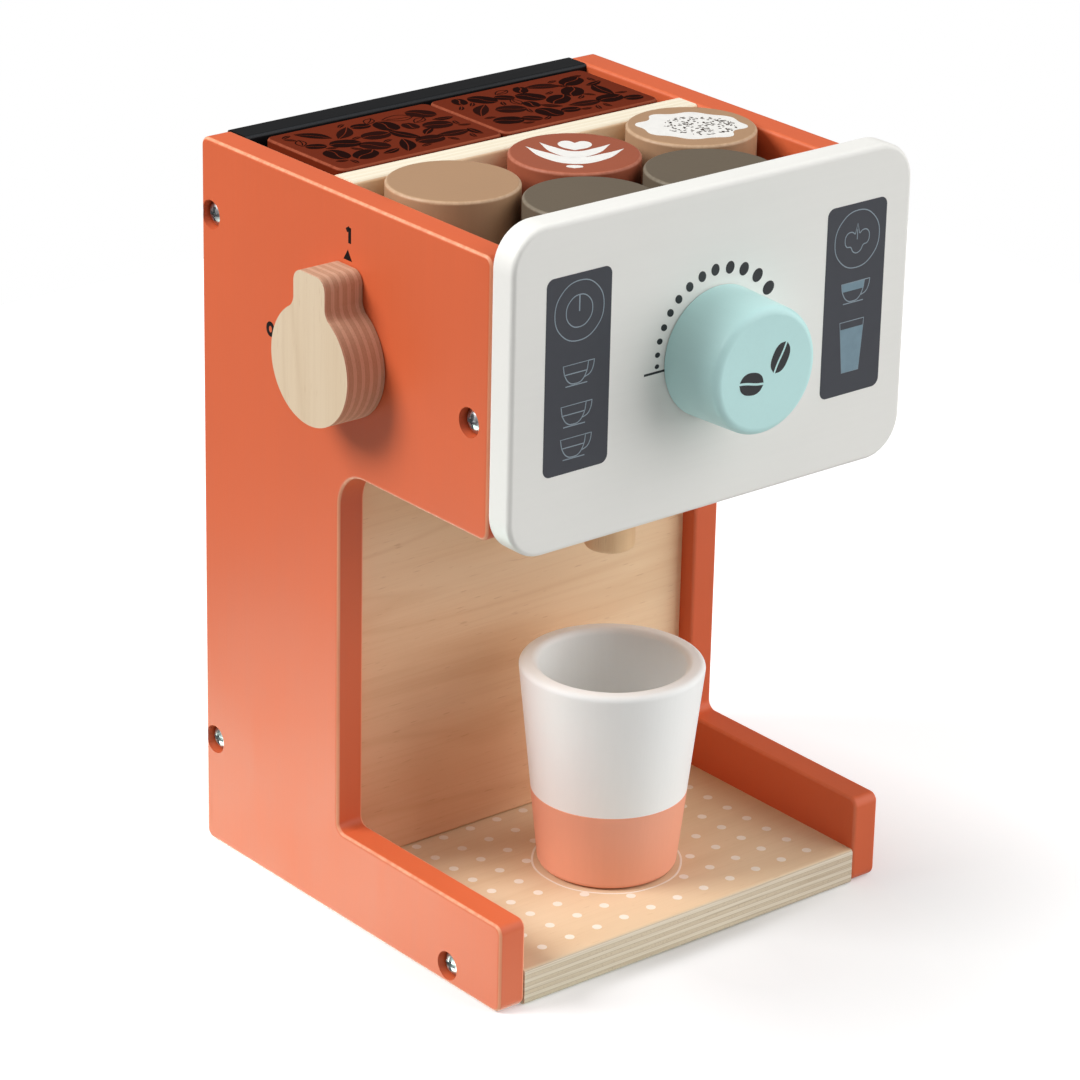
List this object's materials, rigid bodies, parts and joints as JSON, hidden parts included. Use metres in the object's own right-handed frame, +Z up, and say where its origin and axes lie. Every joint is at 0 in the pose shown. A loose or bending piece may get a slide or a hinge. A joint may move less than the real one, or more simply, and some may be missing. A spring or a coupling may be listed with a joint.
{
  "type": "toy coffee maker",
  "caption": "Wooden play coffee machine with a cup bay, a side switch knob, a front dial, a loose cup, drink cylinders and bean blocks in open trays.",
  "frame": {"origin": "middle of the base board's underside, where the toy rests", "axes": "+X to the right seen from the front, -Y towards the front, +Z up"},
  "size_m": [0.1703, 0.1753, 0.25],
  "materials": {
    "orange_paint": "satin orange paint on plywood",
    "cream_paint": "satin pale grey paint on plywood, with grey and black printed marks",
    "black_paint": "satin black paint on plywood",
    "birch_ply": "clear matt lacquer on birch plywood, plies showing on the edges",
    "birch_dowel": "clear matt lacquer on solid birch",
    "turquoise_paint": "satin turquoise paint on turned wood",
    "cup_paint": "satin white paint with a coral band round the foot",
    "tan_paint": "satin tan paint on turned wood",
    "rust_paint": "satin rust brown paint on turned wood",
    "umber_paint": "satin grey brown paint on turned wood",
    "bean_paint": "satin red brown paint with a darker printed pattern",
    "zinc_steel": "zinc plated steel"
  },
  "bodies": {
    "case": {"left_side": "orange_paint", "right_side": "orange_paint", "front_panel": "cream_paint", "back_panel": "black_paint", "inner_wall": "birch_ply", "base_board": "birch_ply", "drinks_floor": "birch_ply", "beans_floor": "birch_ply", "spout": "birch_dowel", "left_screws": "zinc_steel", "right_screws": "zinc_steel", "wall_dowels": "birch_dowel", "floor_dowels": "birch_dowel", "panel_dowels": "birch_dowel"},
    "side_knob": {"side_knob": "birch_ply", "knob_axle": "birch_dowel", "knob_washer": "zinc_steel", "knob_screw": "zinc_steel"},
    "dial": {"dial": "turquoise_paint", "dial_axle": "birch_dowel", "dial_washer": "zinc_steel", "dial_screw": "zinc_steel"},
    "cup": {"cup": "cup_paint"},
    "drink_plain": {"drink_plain": "tan_paint"},
    "drink_leaf": {"drink_leaf": "rust_paint"},
    "drink_foam": {"drink_foam": "tan_paint"},
    "drink_dark_left": {"drink_dark_left": "umber_paint"},
    "drink_dark_right": {"drink_dark_right": "umber_paint"},
    "bean_block_left": {"bean_block_left": "bean_paint"},
    "bean_block_right": {"bean_block_right": "bean_paint"}
  },
  "joints": [
    {"name": "side_knob_turn", "type": "hinge", "parent": "case", "child": "side_knob", "pos_m": [-0.078, 0.0013, 0.19], "axis": [-1, 0, 0], "continuous": true},
    {"name": "dial_turn", "type": "hinge", "parent": "case", "child": "dial", "pos_m": [0.0005, -0.0765, 0.198], "axis": [0, 1, 0], "continuous": true},
    {"name": "cup_out", "type": "slide", "parent": "case", "child": "cup", "axis": [0, -1, 0], "range_m": [0, 0.15]},
    {"name": "drink_plain_lift", "type": "slide", "parent": "case", "child": "drink_plain", "axis": [0, 0, 1], "range_m": [0, 0.07]},
    {"name": "drink_leaf_lift", "type": "slide", "parent": "case", "child": "drink_leaf", "axis": [0, 0, 1], "range_m": [0, 0.07]},
    {"name": "drink_foam_lift", "type": "slide", "parent": "case", "child": "drink_foam", "axis": [0, 0, 1], "range_m": [0, 0.07]},
    {"name": "drink_dark_left_lift", "type": "slide", "parent": "case", "child": "drink_dark_left", "axis": [0, 0, 1], "range_m": [0, 0.07]},
    {"name": "drink_dark_right_lift", "type": "slide", "parent": "case", "child": "drink_dark_right", "axis": [0, 0, 1], "range_m": [0, 0.07]},
    {"name": "bean_block_left_lift", "type": "slide", "parent": "case", "child": "bean_block_left", "axis": [0, 0, 1], "range_m": [0, 0.07]},
    {"name": "bean_block_right_lift", "type": "slide", "parent": "case", "child": "bean_block_right", "axis": [0, 0, 1], "range_m": [0, 0.07]}
  ]
}
